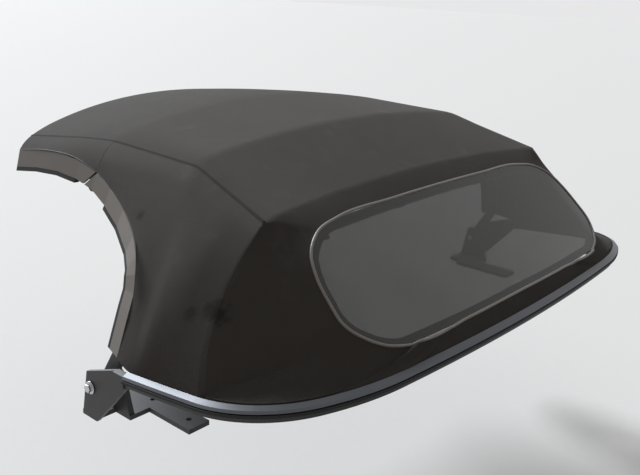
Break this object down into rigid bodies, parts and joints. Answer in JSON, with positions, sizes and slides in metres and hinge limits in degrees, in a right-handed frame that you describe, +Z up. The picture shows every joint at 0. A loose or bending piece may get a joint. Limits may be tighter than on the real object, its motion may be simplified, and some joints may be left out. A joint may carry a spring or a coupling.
{
  "type": "folding soft top for a convertible car",
  "caption": "Folding fabric roof of a two-seat open car, with a curved glass rear window, side trims, bows and pivot brackets.",
  "frame": {"origin": "centre of the four bracket bolt holes, in the brackets' bottom plane", "axes": "+X to the car's left, +Y to its rear, +Z up"},
  "size_m": [1.455, 1.206, 0.53],
  "materials": {
    "canvas": "woven, matt",
    "window_glass": "tinted, glossy",
    "seal_rubber": "matt",
    "trim_metal": "satin",
    "moulding_metal": "satin",
    "frame_paint": "satin",
    "bracket_steel": "satin",
    "pin_steel": "bright",
    "frame_plastic": "grained",
    "handle_plastic": "grained"
  },
  "bodies": {
    "base": {"main_bracket_left": "bracket_steel", "main_bracket_right": "bracket_steel", "tension_bow": "frame_paint", "base_moulding": "moulding_metal", "base_seal": "seal_rubber", "cover_hem": "canvas"},
    "main_arms": {"main_rail_left": "frame_paint", "main_rail_right": "frame_paint", "rear_trim_left": "trim_metal", "rear_trim_right": "trim_metal", "rear_seal_left": "seal_rubber", "rear_seal_right": "seal_rubber", "main_pins": "pin_steel", "side_cover_left": "canvas", "side_cover_right": "canvas", "quarter_cover_left": "canvas", "quarter_cover_right": "canvas"},
    "front_panel": {"header_bow": "frame_paint", "header_seal": "seal_rubber", "front_bow": "frame_paint", "front_rail_left": "frame_paint", "front_rail_right": "frame_paint", "front_trim_left": "trim_metal", "front_trim_right": "trim_metal", "front_seal_left": "seal_rubber", "front_seal_right": "seal_rubber", "front_pins": "pin_steel", "locating_pins": "pin_steel", "latch_base": "bracket_steel", "front_cover": "canvas", "roof_cover": "canvas"},
    "bow_links": {"bow_link_left": "frame_paint", "bow_link_right": "frame_paint"},
    "middle_bow": {"middle_bow": "frame_paint"},
    "rear_window": {"rear_glass": "window_glass", "window_frame": "frame_plastic", "corner_bow": "frame_paint", "rear_roof_cover": "canvas", "rear_cover": "canvas", "rear_corner_left": "canvas", "rear_corner_right": "canvas"},
    "latch": {"latch_handle": "handle_plastic"}
  },
  "joints": [
    {"name": "main_fold", "type": "hinge", "parent": "base", "child": "main_arms", "pos_m": [0, -0.09, 0.068], "axis": [-1, 0, 0], "range_deg": [0, 120.5], "deforming": ["quarter_cover_left", "quarter_cover_right"]},
    {"name": "front_hinge", "type": "hinge", "parent": "main_arms", "child": "front_panel", "pos_m": [0, -0.333, 0.385], "axis": [1, 0, 0], "range_deg": [0, 120.5], "deforming": ["roof_cover", "side_cover_left", "side_cover_right"]},
    {"name": "link_swing", "type": "hinge", "parent": "front_panel", "child": "bow_links", "pos_m": [0, -0.265, 0.422], "axis": [-1, 0, 0], "range_deg": [0, 172.3]},
    {"name": "bow_swing", "type": "hinge", "parent": "bow_links", "child": "middle_bow", "pos_m": [0, -0.045, 0.418], "axis": [1, 0, 0], "range_deg": [0, 172.3]},
    {"name": "window_hinge", "type": "hinge", "parent": "base", "child": "rear_window", "pos_m": [0, 0.402, 0.175], "axis": [1, 0, 0], "range_deg": [0, 66.1], "deforming": ["rear_roof_cover", "rear_cover", "rear_corner_left", "rear_corner_right"]},
    {"name": "latch_swing", "type": "hinge", "parent": "front_panel", "child": "latch", "pos_m": [0, -0.7, 0.456], "axis": [-1, 0, 0], "range_deg": [0, 90]}
  ],
  "couplings": [
    {"joint": "front_hinge", "follows": "main_fold", "ratio": 1},
    {"joint": "link_swing", "follows": "main_fold", "ratio": 1.429},
    {"joint": "bow_swing", "follows": "main_fold", "ratio": 1.429},
    {"joint": "window_hinge", "follows": "main_fold", "ratio": 0.54772}
  ]
}
